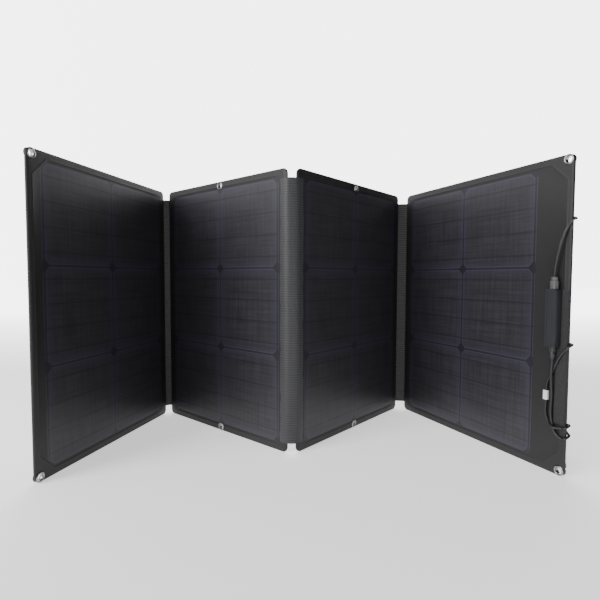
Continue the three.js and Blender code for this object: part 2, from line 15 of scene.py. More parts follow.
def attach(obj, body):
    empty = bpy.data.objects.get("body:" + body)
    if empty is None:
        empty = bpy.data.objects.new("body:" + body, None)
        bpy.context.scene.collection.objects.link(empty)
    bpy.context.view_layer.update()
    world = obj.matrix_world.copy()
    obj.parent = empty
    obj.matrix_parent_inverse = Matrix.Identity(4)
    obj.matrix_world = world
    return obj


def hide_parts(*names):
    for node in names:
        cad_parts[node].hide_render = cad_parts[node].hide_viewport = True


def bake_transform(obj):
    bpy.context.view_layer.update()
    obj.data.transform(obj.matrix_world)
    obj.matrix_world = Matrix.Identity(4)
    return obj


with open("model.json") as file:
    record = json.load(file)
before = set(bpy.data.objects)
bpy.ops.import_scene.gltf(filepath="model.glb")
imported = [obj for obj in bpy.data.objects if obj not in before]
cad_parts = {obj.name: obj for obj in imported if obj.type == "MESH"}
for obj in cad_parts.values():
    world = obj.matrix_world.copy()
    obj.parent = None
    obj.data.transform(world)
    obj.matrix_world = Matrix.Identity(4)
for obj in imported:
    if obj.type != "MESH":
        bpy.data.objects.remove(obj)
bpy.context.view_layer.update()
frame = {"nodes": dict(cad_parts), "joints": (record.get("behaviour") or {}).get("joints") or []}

MM = 0.001

# ---- Dimensions shared with the CAD part, in millimetres and degrees ----

PANEL_HEIGHT = 510
PANEL_WIDTHS = [369.5, 365, 365, 406.5]
FIRST = 0
LAST = 3
WINDOW_LEFTS = [24, 19.5, 19.5, 19.5]
WINDOW_WIDTH = 326
WINDOW_HEIGHT = 480
WINDOW_RADIUS = 8
WINDOW_BOTTOM = (PANEL_HEIGHT - WINDOW_HEIGHT) / 2
CELL_SIDE = 156.75
CELL_PITCH = 159.75
CELL_GAP = CELL_PITCH - CELL_SIDE
CELL_CORNER_CUT = 8.5
BUSBARS = 4
CELLS_LEFT = (WINDOW_WIDTH - 2 * CELL_PITCH + CELL_GAP) / 2
CELLS_BOTTOM = (WINDOW_HEIGHT - 3 * CELL_PITCH + CELL_GAP) / 2
OUTER_RADIUS = 10
BOARD_INSET = 9.5
BOARD_CORNER_CUT = 28
CREASE_GAP = 0.5
CREASE_OFFSET = 0.4
FIRST_HEADING = 75.7
FOLD_TURNS = [-116.3, 89.8, -114.9]
STRIP_WIDTHS = [16, 16, 24]
STRIP_END = 17.5
STRIP_MIDDLE = 1.8
FILM_FRONT = 2.85
FILM_BACK = 1.6
EYELET_INSET = 8.5
EYELET_HOLE = 5.2
EYELET_CUT = 6.0
EYELET_FLANGE = 8.1
GLAND_U = 386
GLAND_T = 10.5
CASING_TOP = 300.3
CASING_BOTTOM = 207.7
LEAD_DIAMETER = 4
PANEL_HALF = 3
COIL_CENTRE = (316, -62, 9.3)
COIL_RADIUS = 23
COIL_BUNDLE = 6.2
COIL_TURNS = 8

# ---- Frames of the panels and strips ----


def crease(u, side, turn):
    """The step over a crease at distance u, whose axis lies a little off the middle plane."""
    pivot = Matrix.Translation((u, -side * CREASE_OFFSET, 0))
    back = Matrix.Translation((0, side * CREASE_OFFSET, 0))
    return pivot @ Matrix.Rotation(math.radians(turn), 4, "Z") @ back


def body_frames():
    """The frame of each panel and strip at rest, chained from the first panel over every crease."""
    at = Matrix.Rotation(math.radians(FIRST_HEADING), 4, "Z")
    frames = {"panel_1": at}
    for index, turn in enumerate(FOLD_TURNS):
        side = math.copysign(1, turn)
        at = at @ crease(PANEL_WIDTHS[index], side, turn / 2)
        frames[f"strip_{index + 1}"] = at
        at = at @ crease(STRIP_WIDTHS[index], side, turn / 2)
        frames[f"panel_{index + 2}"] = at
    first_side = math.copysign(1, FOLD_TURNS[0])
    pivot = frames["panel_1"] @ Vector((PANEL_WIDTHS[0], -first_side * CREASE_OFFSET, 0))
    first_joint = next(joint for joint in frame["joints"] if joint["name"] == "fold_1_left")
    shift = Matrix.Translation(Vector(first_joint["pos_m"]) / MM - pivot)
    return {body: Matrix.Scale(MM, 4) @ shift @ matrix for body, matrix in frames.items()}


FRAMES = body_frames()


def place(body, u, t, z):
    """A point of a panel's or strip's frame, in the row frame."""
    return FRAMES[body] @ Vector((u, -t, z))


# ---- Camera, first of all ----

CAMERA_LENS = 26.4
CAMERA_PLACE = (-0.0093, -0.8587, 0.3176)
CAMERA_DIP = 2.956
CAMERA_ROLL = 0.163


def add_camera():
    """A camera that looks along the row frame's depth, a little downwards."""
    data = bpy.data.cameras.new("camera")
    data.lens = CAMERA_LENS
    camera = bpy.data.objects.new("camera", data)
    bpy.context.scene.collection.objects.link(camera)
    tilt = Matrix.Rotation(math.radians(90 - CAMERA_DIP), 4, "X")
    roll = Matrix.Rotation(math.radians(CAMERA_ROLL), 4, "Z")
    camera.matrix_world = Matrix.Translation(CAMERA_PLACE) @ tilt @ roll
    bpy.context.scene.camera = camera


add_camera()

# ---- Materials ----


class Shader:
    """A material under construction, with short ways to add the nodes that the looks need."""

    def __init__(self, name, base, roughness, **settings):
        self.material = bpy.data.materials.new(name)
        self.material.use_nodes = True
        self.tree = self.material.node_tree
        self.surface = self.tree.nodes["Principled BSDF"]
        self.surface.inputs["Base Color"].default_value = (*base, 1)
        self.surface.inputs["Roughness"].default_value = roughness
        for socket, value in settings.items():
            self.surface.inputs[socket.replace("_", " ")].default_value = value

    def node(self, kind, inputs=None, **settings):
        """A new node with its settings and inputs, which are values or other nodes' outputs."""
        made = self.tree.nodes.new(kind)
        for key, value in settings.items():
            setattr(made, key, value)
        for key, value in (inputs or {}).items():
            self.feed(made.inputs[key], value)
        return made

    def feed(self, socket, value):
        """Links another node's output to a socket, or sets the socket's value."""
        if isinstance(value, bpy.types.NodeSocket):
            self.tree.links.new(value, socket)
        else:
            socket.default_value = value

    def math(self, operation, *values):
        """The outcome of a sum on values or other nodes' outputs."""
        made = self.node("ShaderNodeMath", operation=operation)
        for socket, value in zip(made.inputs, values):
            self.feed(socket, value)
        return made.outputs[0]

    def mix(self, factor, low, high):
        """A colour between two colours."""
        made = self.node("ShaderNodeMix", data_type="RGBA")
        self.feed(made.inputs["Factor"], factor)
        self.feed(made.inputs["A"], low if isinstance(low, bpy.types.NodeSocket) else (*low, 1))
        self.feed(made.inputs["B"], high if isinstance(high, bpy.types.NodeSocket) else (*high, 1))
        return made.outputs["Result"]

    def flat_place(self):
        """Distances along and up a panel or strip, in millimetres."""
        uv = self.node("ShaderNodeUVMap", uv_map="flat")
        parts = self.node("ShaderNodeSeparateXYZ", {"Vector": uv.outputs[0]})
        return parts.outputs["X"], parts.outputs["Y"]

    def space_place(self):
        """Coordinates in the row frame, in millimetres."""
        place_node = self.node("ShaderNodeTexCoord").outputs["Object"]
        scaled = self.node("ShaderNodeVectorMath", {0: place_node, "Scale": 1 / MM}, operation="SCALE")
        return scaled.outputs["Vector"]

    def cloud(self, size, detail=2):
        """Soft noise from 0 to 1 with blotches of about that size in millimetres."""
        inputs = {"Vector": self.space_place(), "Scale": 1 / size, "Detail": detail}
        return self.node("ShaderNodeTexNoise", inputs).outputs["Fac"]

    def streaks(self, across, width, lengthwise, length):
        """Soft noise from 0 to 1 in streaks of about that width and length in millimetres."""
        x = self.math("DIVIDE", across, width)
        y = self.math("DIVIDE", lengthwise, length)
        spot = self.node("ShaderNodeCombineXYZ", {"X": x, "Y": y})
        made = self.node("ShaderNodeTexNoise", {"Vector": spot.outputs[0], "Scale": 1.0, "Detail": 1})
        return made.outputs["Fac"]

    def wave(self, along, period):
        """Rounded ribs from 0 to 1 across a coordinate in millimetres."""
        sine = self.math("SINE", self.math("MULTIPLY", along, 2 * math.pi / period))
        return self.math("MULTIPLY_ADD", sine, 0.5, 0.5)

    def near(self, along, target, width, soft):
        """1 where a coordinate is within half a width of a target, falling to 0 just beyond."""
        away = self.math("ABSOLUTE", self.math("SUBTRACT", along, target))
        found = self.node("ShaderNodeMapRange", {"Value": away})
        found.inputs["From Min"].default_value = width / 2 + soft
        found.inputs["From Max"].default_value = width / 2
        return found.outputs["Result"]

    def span(self, value, low, high):
        """0 up to one value, 1 beyond another, and an even rise in between."""
        found = self.node("ShaderNodeMapRange", {"Value": value})
        found.inputs["From Min"].default_value = low
        found.inputs["From Max"].default_value = high
        return found.outputs["Result"]

    def colour(self, value):
        """Base colour, from a node's output."""
        self.feed(self.surface.inputs["Base Color"], value)
        return self

    def roughen(self, factor, low, high):
        """Roughness between two values."""
        self.feed(self.surface.inputs["Roughness"], self.math("MULTIPLY_ADD", factor, high - low, low))
        return self

    def bump(self, height, distance_mm):
        """Relief in the shading, from a height of 0 to 1 that stands for that distance."""
        inputs = {"Height": height, "Distance": distance_mm * MM, "Strength": 1.0}
        made = self.node("ShaderNodeBump", inputs)
        self.feed(self.surface.inputs["Normal"], made.outputs[0])
        return self


WEAVE_PITCH = 4.4
STRIP_RIB_PITCH = 4.4


def weave(shader):
    """Over-and-under threads along a piece's own directions, as a soft checker from 0 to 1."""
    along, up = shader.flat_place()
    warp = shader.math("SINE", shader.math("MULTIPLY", along, 2 * math.pi / WEAVE_PITCH))
    weft = shader.math("SINE", shader.math("MULTIPLY", up, 2 * math.pi / WEAVE_PITCH))
    return shader.math("MULTIPLY_ADD", shader.math("MULTIPLY", warp, weft), 0.5, 0.5)


def cover_material(name, base, light):
    """Coated woven fabric, with coarse threads under a satin coat."""
    shader = Shader(name, base, 0.55, Specular_IOR_Level=0.5)
    threads = weave(shader)
    wear = shader.cloud(35, 3)
    tone = shader.math("MULTIPLY_ADD", threads, 0.6, shader.math("MULTIPLY", wear, 0.4))
    shader.colour(shader.mix(tone, base, light))
    shader.roughen(wear, 0.5, 0.62)
    folds = shader.math("MULTIPLY_ADD", threads, 0.2, shader.cloud(14))
    return shader.bump(folds, 0.3).material


def strip_material(name, base, light, depth=0.45):
    """Ribbed fabric: the ribs run across the strip, from panel to panel."""
    shader = Shader(name, base, 0.55, Sheen_Weight=0.1, Sheen_Roughness=0.45)
    _, up = shader.flat_place()
    drift = shader.math("MULTIPLY", shader.cloud(9), 3)
    ribs = shader.wave(shader.math("ADD", up, drift), STRIP_RIB_PITCH)
    shader.colour(shader.mix(ribs, base, light))
    return shader.bump(shader.math("MULTIPLY_ADD", shader.cloud(6), 0.5, ribs), depth).material


def from_cell_middle(shader, place_mm, first_edge):
    """How far a place in the window is from the middle line of its row or column of cells."""
    shifted = shader.math("SUBTRACT", place_mm, first_edge - CELL_GAP / 2)
    inside = shader.math("FLOORED_MODULO", shifted, CELL_PITCH)
    return shader.math("ABSOLUTE", shader.math("SUBTRACT", inside, CELL_PITCH / 2))


def film_material():
    """Embossed film on the cells: cut corners, pale outlines, a violet glow near edges, busbars."""
    shader = Shader("film", (0.012, 0.012, 0.015), 0.4, Specular_IOR_Level=0.5)
    along, up = shader.flat_place()
    across = from_cell_middle(shader, along, CELLS_LEFT)
    height = from_cell_middle(shader, up, CELLS_BOTTOM)
    past_side = shader.math("SUBTRACT", shader.math("MAXIMUM", across, height), CELL_SIDE / 2)
    past_corner = shader.math("SUBTRACT", shader.math("ADD", across, height), CELL_SIDE - CELL_CORNER_CUT)
    past_corner = shader.math("DIVIDE", past_corner, math.sqrt(2))
    past_edge = shader.math("MAXIMUM", past_side, past_corner)

    # Shares from 0 to 1: the glow, the outline, the gap between cells, and the busbars.
    glow = shader.math("POWER", shader.span(past_edge, -20, -1.5), 2.0)
    at_row_edge = shader.span(shader.math("SUBTRACT", height, across), -6, 6)
    outline = shader.near(past_edge, -1.1, 1.0, 0.7)
    outline = shader.math("MULTIPLY", outline, shader.math("MULTIPLY_ADD", at_row_edge, 0.35, 0.25))
    gap = shader.span(past_edge, -0.4, 0.2)
    busbar_pitch = CELL_SIDE / BUSBARS
    in_row = shader.math("FLOORED_MODULO", shader.math("SUBTRACT", up, CELLS_BOTTOM), CELL_PITCH)
    in_busbar = shader.math("FLOORED_MODULO", in_row, busbar_pitch)
    busbar = shader.near(in_busbar, busbar_pitch / 2, 1.2, 1.2)

    # Colours, each laid over the last: crystal, linen streaks, threads, and the shares above.
    threads = weave(shader)
    linen = shader.math("MULTIPLY", shader.streaks(along, 5, up, 90), shader.streaks(up, 5, along, 90))
    linen = shader.span(linen, 0.12, 0.40)
    crystal = shader.mix(shader.cloud(45, 1), (0.010, 0.0097, 0.0125), (0.0165, 0.0155, 0.0205))
    crystal = shader.mix(linen, crystal, (0.030, 0.0285, 0.036))
    woven = shader.mix(shader.math("MULTIPLY", threads, 0.4), crystal, (0.046, 0.045, 0.053))
    violet = shader.mix(shader.math("MULTIPLY", glow, 0.58), woven, (0.037, 0.032, 0.058))
    barred = shader.mix(shader.math("MULTIPLY", busbar, 0.5), violet, (0.004, 0.004, 0.005))
    outlined = shader.mix(outline, barred, (0.050, 0.048, 0.062))
    shader.colour(shader.mix(shader.math("MULTIPLY", gap, 0.75), outlined, (0.008, 0.008, 0.011)))

    haze = shader.cloud(60, 2)
    shader.roughen(haze, 0.36, 0.46)
    relief = shader.math("MULTIPLY_ADD", shader.cloud(22), 0.9, shader.math("MULTIPLY", threads, 0.25))
    shader.bump(relief, 0.35)

    # A tenth of the light goes through to the cells.
    clear = shader.node("ShaderNodeBsdfTransparent")
    blend = shader.node("ShaderNodeMixShader", {"Fac": 0.9})
    shader.tree.links.new(clear.outputs[0], blend.inputs[1])
    shader.tree.links.new(shader.surface.outputs[0], blend.inputs[2])
    shader.tree.links.new(blend.outputs[0], shader.tree.nodes["Material Output"].inputs["Surface"])
    return shader.material


def cell_material():
    """Dark silicon with a faint crystal tone."""
    shader = Shader("cell", (0.008, 0.008, 0.016), 0.3)
    shader.colour(shader.mix(shader.cloud(40), (0.006, 0.006, 0.013), (0.02, 0.018, 0.034)))
    return shader.material


def board_material():
    """The stiff board behind the cells, of which a little shows between them."""
    shader = Shader("board", (0.03, 0.028, 0.036), 0.6)
    shader.colour(shader.mix(shader.cloud(20), (0.055, 0.05, 0.068), (0.075, 0.068, 0.09)))
    return shader.material


def metal_material():
    """Plated eyelets and barrel, a little dulled in blotches."""
    shader = Shader("plated_metal", (0.4, 0.4, 0.41), 0.25, Metallic=1.0)
    grime = shader.cloud(3, 3)
    shader.colour(shader.mix(grime, (0.42, 0.42, 0.43), (0.22, 0.22, 0.23)))
    return shader.roughen(grime, 0.2, 0.36).material


def moulding_material(name, base, light):
    """Moulded plastic with a fine grain."""
    shader = Shader(name, base, 0.4)
    grain = shader.cloud(0.8, 2)
    shader.colour(shader.mix(grain, base, light))
    shader.roughen(shader.cloud(12), 0.32, 0.44)
    return shader.bump(grain, 0.06).material


def lead_material():
    """The leads' black jacket."""
    shader = Shader("lead_jacket", (0.012, 0.012, 0.013), 0.4, Specular_IOR_Level=0.5)
    shader.colour(shader.mix(shader.cloud(8), (0.010, 0.010, 0.011), (0.018, 0.018, 0.019)))
    return shader.roughen(shader.cloud(15), 0.34, 0.48).material


def tape_material():
    """Hook-and-loop tape: rows of small loops."""
    shader = Shader("hook_and_loop", (0.02, 0.02, 0.021), 0.9, Sheen_Weight=0.1)
    cells = shader.node("ShaderNodeTexVoronoi", {"Vector": shader.space_place(), "Scale": 0.75})
    loops = cells.outputs["Distance"]
    shader.colour(shader.mix(loops, (0.008, 0.008, 0.009), (0.036, 0.036, 0.038)))
    return shader.bump(loops, 0.5).material


def tag_material():
    """The blank white tag."""
    shader = Shader("tag_film", (0.8, 0.8, 0.8), 0.5)
    shader.colour(shader.mix(shader.cloud(6), (0.78, 0.78, 0.78), (0.86, 0.86, 0.86)))
    return shader.material


def circuit_material():
    """The controller's green circuit board, which is out of sight."""
    shader = Shader("circuit", (0.01, 0.07, 0.025), 0.4)
    shader.colour(shader.mix(shader.cloud(4), (0.008, 0.055, 0.02), (0.015, 0.09, 0.035)))
    return shader.material


COVER = cover_material("cover_fabric", (0.006, 0.006, 0.0065), (0.013, 0.013, 0.014))
BACK = cover_material("back_fabric", (0.010, 0.010, 0.011), (0.024, 0.024, 0.026))
STRIP = strip_material("strip_fabric", (0.013, 0.013, 0.013), (0.048, 0.048, 0.047))
PEAK_STRIP = strip_material("peak_strip_fabric", (0.022, 0.022, 0.025), (0.040, 0.040, 0.045), 0.15)
FILM = film_material()
CELL = cell_material()
BOARD = board_material()
METAL = metal_material()
MOULDING = moulding_material("black_moulding", (0.015, 0.015, 0.019), (0.030, 0.030, 0.036))
# A lighter grey copy of the glands' moulding for the upper gland, painted light. The lower gland is the
# same moulding but takes the black one, painted shade.
LIT_GLAND_GREY = moulding_material("lit_gland_grey", (0.065, 0.065, 0.067), (0.10, 0.10, 0.104))
LEAD = lead_material()
TAPE = tape_material()
TAG = tag_material()
CIRCUIT = circuit_material()

# ---- Mesh helpers ----

SHARP_ANGLE = 40
BEVEL_ANGLE = 35
RIBS = 10
RIB_DEPTH = 0.4


def shade(mesh):
    """Smooth shading, except across edges where the surface turns by more than the sharp angle."""
    mesh.shade_smooth()
    mesh.set_sharp_from_angle(angle=math.radians(SHARP_ANGLE))


def add_mesh(name, points, faces, material, flat=None):
    """A mesh from points in the row frame. flat holds each point's place along and up its piece."""
    mesh = bpy.data.meshes.new(name)
    mesh.from_pydata(points, [], faces)
    if flat is not None:
        layer = mesh.uv_layers.new(name="flat")
        for loop in mesh.loops:
            layer.data[loop.index].uv = flat[loop.vertex_index]
    mesh.materials.append(material)
    made = bpy.data.objects.new(name, mesh)
    bpy.context.scene.collection.objects.link(made)
    fix_normals(made)
    shade(mesh)
    return made


def fix_normals(thing):
    """Turns every face outwards."""
    work = bmesh.new()
    work.from_mesh(thing.data)
    bmesh.ops.recalc_face_normals(work, faces=work.faces)
    work.to_mesh(thing.data)
    work.free()


def corner_points(u, z, size, start, straight_cut, arc):
    """The points of one corner: a round one, or a straight cut with legs of that size."""
    angles = [math.radians(start + 90 * step / arc) for step in range(arc + 1)]
    turned = [(u + size * math.cos(angle), z + size * math.sin(angle)) for angle in angles]
    if not straight_cut:
        return turned
    (first_u, first_z), (last_u, last_z) = turned[0], turned[-1]
    shares = [step / arc for step in range(arc + 1)]
    return [(first_u + (last_u - first_u) * s, first_z + (last_z - first_z) * s) for s in shares]


def rounded_loop(left, bottom, right, top, sizes, cuts=(False,) * 4, straight=30, arc=6):
    """Points round a rectangle, the same number whatever its size.

    Its corners, from bottom right and anticlockwise, are round or cut straight.
    """
    bottom_right, top_right, top_left, bottom_left = sizes
    corners = [
        corner_points(right - bottom_right, bottom + bottom_right, bottom_right, -90, cuts[0], arc),
        corner_points(right - top_right, top - top_right, top_right, 0, cuts[1], arc),
        corner_points(left + top_left, top - top_left, top_left, 90, cuts[2], arc),
        corner_points(left + bottom_left, bottom + bottom_left, bottom_left, 180, cuts[3], arc),
    ]
    points = []
    for index, corner in enumerate(corners):
        points += corner
        begin, goal = corner[-1], corners[(index + 1) % 4][0]
        for step in range(1, straight):
            share = step / straight
            points.append(tuple(a + (b - a) * share for a, b in zip(begin, goal)))
    return points


def loops_mesh(name, body, loops, material, closed_tube=False):
    """A skin over loops of (u, z) points at a height t each. Its ends are capped, or joined."""
    count = len(loops[0][0])
    points = []
    flat = []
    for outline, heights in loops:
        for (u, z), t in zip(outline, heights):
            points.append(place(body, u, t, z))
            flat.append((u, z))
    faces = []
    bands = len(loops) if closed_tube else len(loops) - 1
    for band in range(bands):
        low = band * count
        high = ((band + 1) % len(loops)) * count
        for step in range(count):
            after = (step + 1) % count
            faces.append((low + step, low + after, high + after, high + step))
    if not closed_tube:
        faces.append(tuple(range(count))[::-1])
        faces.append(tuple(range((len(loops) - 1) * count, len(loops) * count)))
    return add_mesh(name, points, faces, material, flat)


def lathe(name, body, origin, axis, profile, material, sides=40, ribbed_from=math.inf):
    """A turned piece. profile lists (radius, distance along the axis); axis is in the body's (u, t, z).

    Where it is at least as wide as ribbed_from, it has ribs along its axis.
    """
    start = place(body, *origin)
    forward = (place(body, *(o + a for o, a in zip(origin, axis))) - start).normalized()
    turn = forward.to_track_quat("Z", "Y").to_matrix()
    points = []
    for radius, along in profile:
        for side in range(sides):
            angle = 2 * math.pi * side / sides
            wide = radius
            if radius >= ribbed_from:
                wide += RIB_DEPTH * (math.cos(RIBS * angle) - 1)
            local = Vector((wide * math.cos(angle), wide * math.sin(angle), along)) * MM
            points.append(start + turn @ local)
    faces = []
    for band in range(len(profile) - 1):
        for side in range(sides):
            after = (side + 1) % sides
            low, high = band * sides, (band + 1) * sides
            faces.append((low + side, low + after, high + after, high + side))
    made = add_mesh(name, points, faces, material)
    weld = bmesh.new()
    weld.from_mesh(made.data)
    bmesh.ops.remove_doubles(weld, verts=weld.verts, dist=1e-7)
    weld.to_mesh(made.data)
    weld.free()
    fix_normals(made)
    shade(made.data)
    return made


def sheet_faces(columns, rows):
    """Faces of a closed sheet: two layers of that many columns and rows, joined round the rim."""
    width = columns + 1
    layer = width * (rows + 1)
    faces = []
    for row in range(rows):
        for column in range(columns):
            corner = row * width + column
            face = (corner, corner + 1, corner + width + 1, corner + width)
            faces.append(face)
            faces.append(tuple(layer + point for point in reversed(face)))
    rim = list(range(columns))
    rim += [row * width + columns for row in range(rows)]
    rim += [rows * width + column for column in range(columns, 0, -1)]
    rim += [row * width for row in range(rows, 0, -1)]
    for here, after in zip(rim, rim[1:] + rim[:1]):
        faces.append((here, layer + here, layer + after, after))
    return faces


def round_edges(thing, width_mm):
    """Rounds a CAD node's edges a little, without touching its mesh."""
    bevel = thing.modifiers.new("edges", "BEVEL")
    bevel.width = width_mm * MM
    bevel.segments = 2
    bevel.angle_limit = math.radians(BEVEL_ANGLE)
    bevel.harden_normals = True


def finish_piece(thing, body, replaced):
    """Says which body a piece rides, if it isn't blended, which nodes it replaces."""
    if body:
        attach(thing, body)
    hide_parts(*replaced)
    return thing


def ripple(u, z, seed, size=45):
    """Slow unevenness of the fabric, from about -1 to 1."""
    return noise.noise(Vector((u / size, z / size, seed * 7.3)))


# ---- Panels ----

# The board's outline shows as a ridge in the front fabric, which fades out towards a fold.
BOARD_CORNER_RADIUS = 6
BOARD_END_INSET = 2
RIDGE_HEIGHT = 0.45
RIDGE_FADE = 14
# Beside the peak fold the front fabric falls away over this reach, by up to this much.
PEAK_REACH = 9
PEAK_DROP = 1.6
FRONT_WAVE = 0.08
BACK_WAVE = 0.25
FILM_WAVE = 0.06
# Each piece of fabric and film takes its unevenness from a place of its own in the noise.
BACK_SEED = 20
FILM_SEED = 40
STRIP_SEED = 60


def eyelet_places(index):
    """The name, distance along the panel and height of each of its two eyelets."""
    outer = {FIRST: EYELET_INSET, LAST: PANEL_WIDTHS[LAST] - EYELET_INSET}
    u = outer.get(index, WINDOW_LEFTS[index] + WINDOW_WIDTH / 2)
    return [("bottom", u, EYELET_INSET), ("top", u, PANEL_HEIGHT - EYELET_INSET)]


def panel_sides(index):
    """Where the panel's fabric starts and ends. At a fold it stops just short of the crease."""
    left = 0 if index == FIRST else CREASE_GAP
    right = PANEL_WIDTHS[index] - (0 if index == LAST else CREASE_GAP)
    return left, right


def inset_loop(index, inset):
    """Round the panel, that far inside its edge."""
    left, right = panel_sides(index)
    sizes = [max(OUTER_RADIUS - inset, 1.5)] * 4
    return rounded_loop(left + inset, inset, right - inset, PANEL_HEIGHT - inset, sizes)


def board_loop(index, inset):
    """Round the board's edge, which passes the corner eyelets with a straight cut."""
    left, right = panel_sides(index)
    cuts = (index == LAST, index == LAST, index == FIRST, index == FIRST)
    cut_size = BOARD_CORNER_CUT - 0.6 * (inset - BOARD_INSET)
    sizes = [cut_size if cut else BOARD_CORNER_RADIUS for cut in cuts]
    bottom = inset + BOARD_END_INSET
    return rounded_loop(left + inset, bottom, right - inset, PANEL_HEIGHT - bottom, sizes, cuts)


def window_loop(index, outset):
    """Round the window, that far outside its edge."""
    left = WINDOW_LEFTS[index] - outset
    right = WINDOW_LEFTS[index] + WINDOW_WIDTH + outset
    bottom, top = WINDOW_BOTTOM - outset, PANEL_HEIGHT - WINDOW_BOTTOM + outset
    return rounded_loop(left, bottom, right, top, [WINDOW_RADIUS + outset] * 4)


def heights(outline, t, seed, waviness):
    """One height for a whole outline, with slow unevenness of up to about that much."""
    return [t + waviness * ripple(u, z, seed) for u, z in outline]


def punch(thing, body, index):
    """Cuts the round holes for the two eyelets."""
    reach = 9
    profile = [(0, -reach), (EYELET_CUT, -reach), (EYELET_CUT, reach), (0, reach)]
    for _, u, z in eyelet_places(index):
        tool = lathe("hole_tool", body, (u, 0, z), (0, 1, 0), profile, METAL, sides=24)
        cut = thing.modifiers.new("hole", "BOOLEAN")
        cut.object = tool
        cut.operation = "DIFFERENCE"
        cut.solver = "EXACT"
        bpy.context.view_layer.update()
        shaped = thing.evaluated_get(bpy.context.evaluated_depsgraph_get())
        mesh = bpy.data.meshes.new_from_object(shaped)
        thing.modifiers.remove(cut)
        thing.data = mesh
        bpy.data.objects.remove(tool)
    shade(thing.data)


def fold_distance(index, u):
    """How far a place is from the nearest of the panel's fold sides."""
    distances = []
    if index != FIRST:
        distances.append(u)
    if index != LAST:
        distances.append(PANEL_WIDTHS[index] - u)
    return min(distances)


def peak_distance(index, u):
    """How far a place is from the peak fold in the middle of the blanket."""
    return {1: PANEL_WIDTHS[1] - u, 2: u}.get(index, PEAK_REACH)


def front_heights(index, outline, t, ridge):
    """Heights of the front fabric: a ridge at the board's edge, except beside the folds."""
    found = []
    for u, z in outline:
        off_fold = min(1, max(0, (fold_distance(index, u) - RIDGE_FADE) / RIDGE_FADE))
        height = t + RIDGE_HEIGHT * ridge * off_fold**2
        near_peak = max(0, 1 - peak_distance(index, u) / PEAK_REACH)
        if t > 1:
            wave = FRONT_WAVE * ripple(u, z, index)
            height = max(1, height - PEAK_DROP * near_peak**2 + wave)
        found.append(height)
    return found


def front_fabric(index):
    """The front cover's margin: a rolled edge, the board's soft outline, and a lip at the window."""
    body = f"panel_{index + 1}"
    edge_profile = [(1.2, 0.4), (0, 0.3), (0.1, 1.4), (0.7, 2.2), (1.8, 2.7), (3.6, 2.85)]
    ridge_profile = [(6, 0), (7.2, 0.25), (8.2, 0.75), (9, 1), (9.8, 0.85), (10.6, 0.35), (11.3, 0)]
    lip_profile = [(1.2, 3.0), (0.6, 2.98), (0.1, 2.85), (-0.1, 2.2), (0.8, 1.2), (1.2, 1.15)]
    loops = []
    for inset, t in edge_profile:
        outline = inset_loop(index, inset)
        loops.append((outline, front_heights(index, outline, t, 0)))
    for inset, ridge in ridge_profile:
        outline = board_loop(index, inset)
        loops.append((outline, front_heights(index, outline, 3.0, ridge)))
    for outset, t in lip_profile:
        outline = window_loop(index, outset)
        loops.append((outline, front_heights(index, outline, t, 0)))
    made = loops_mesh(f"front_fabric_{index + 1}", body, loops, COVER, closed_tube=True)
    punch(made, body, index)
    return finish_piece(made, body, [f"front_cover_{index + 1}"])


def back_fabric(index):
    """The back cover: a rolled edge, a stitched groove, and a slightly uneven field."""
    body = f"panel_{index + 1}"
    edge_profile = [(1.2, 0.1), (0, 0.2), (0.1, -1.2), (0.7, -2.2), (1.8, -2.8), (4, -3.0), (7.4, -2.95)]
    seam_profile = [(8.0, -3.3), (8.8, -3.4), (9.5, -3.1), (10.1, -2.5), (10.9, -2.9)]
    field_insets = [16, 24, 34, 46, 60, 76, 94, 114, 136, 158, 176]
    inside = -1.5
    loops = []
    for inset in (field_insets[-1], 2.5):
        outline = inset_loop(index, inset)
        loops.append((outline, [inside] * len(outline)))
    for inset, t in edge_profile + seam_profile + [(inset, -3) for inset in field_insets]:
        outline = inset_loop(index, inset)
        loops.append((outline, heights(outline, t, index + BACK_SEED, BACK_WAVE if inset > 3 else 0)))
    made = loops_mesh(f"back_fabric_{index + 1}", body, loops, BACK)
    punch(made, body, index)
    return finish_piece(made, body, [f"back_cover_{index + 1}"])


def film(index):
    """The film in the window, a little uneven, with its edges tucked under the lip."""
    body = f"panel_{index + 1}"
    columns, rows = 56, 80
    tuck = 0.6
    points = []
    flat = []
    for level in (FILM_FRONT, FILM_BACK):
        wave = FILM_WAVE if level == FILM_FRONT else 0
        for row in range(rows + 1):
            for column in range(columns + 1):
                u = WINDOW_LEFTS[index] - tuck + (WINDOW_WIDTH + 2 * tuck) * column / columns
                z = WINDOW_BOTTOM - tuck + (WINDOW_HEIGHT + 2 * tuck) * row / rows
                t = level + wave * ripple(u, z, index + FILM_SEED, 60)
                points.append(place(body, u, t, z))
                flat.append((u - WINDOW_LEFTS[index], z - WINDOW_BOTTOM))
    faces = sheet_faces(columns, rows)
    made = add_mesh(f"film_{index + 1}", points, faces, FILM, flat)
    return finish_piece(made, body, [f"laminate_{index + 1}"])


def eyelets(index):
    """Rolled rings: a domed flange on each side of a barrel."""
    body = f"panel_{index + 1}"
    hole, lip = EYELET_HOLE, EYELET_FLANGE
    side = [(hole, 0), (hole, 3.4), (hole + 0.3, 3.9), (hole + 0.9, 4.3), (hole + 1.7, 4.3)]
    side += [(lip - 0.5, 4.0), (lip, 3.5), (lip - 0.1, 3.2), (lip - 0.6, 3.15), (hole + 0.5, 3.1)]
    mirrored = [(radius, -along) for radius, along in reversed(side)]
    profile = mirrored[:-1] + side + [(hole + 0.5, -3.1)]
    for end, u, z in eyelet_places(index):
        made = lathe(f"ring_{index + 1}_{end}", body, (u, 0, z), (0, 1, 0), profile, METAL, sides=48)
        finish_piece(made, body, [f"eyelet_{index + 1}_{end}"])


# ---- Fold strips ----

STRIP_ROWS = 90
STRIP_HALF_THICKNESS = 1.0
STRIP_WAVE = 0.25
VALLEY_BEND = 3.2
PEAK_BEND_GAP = 0.5
BLEND_REACH = 3
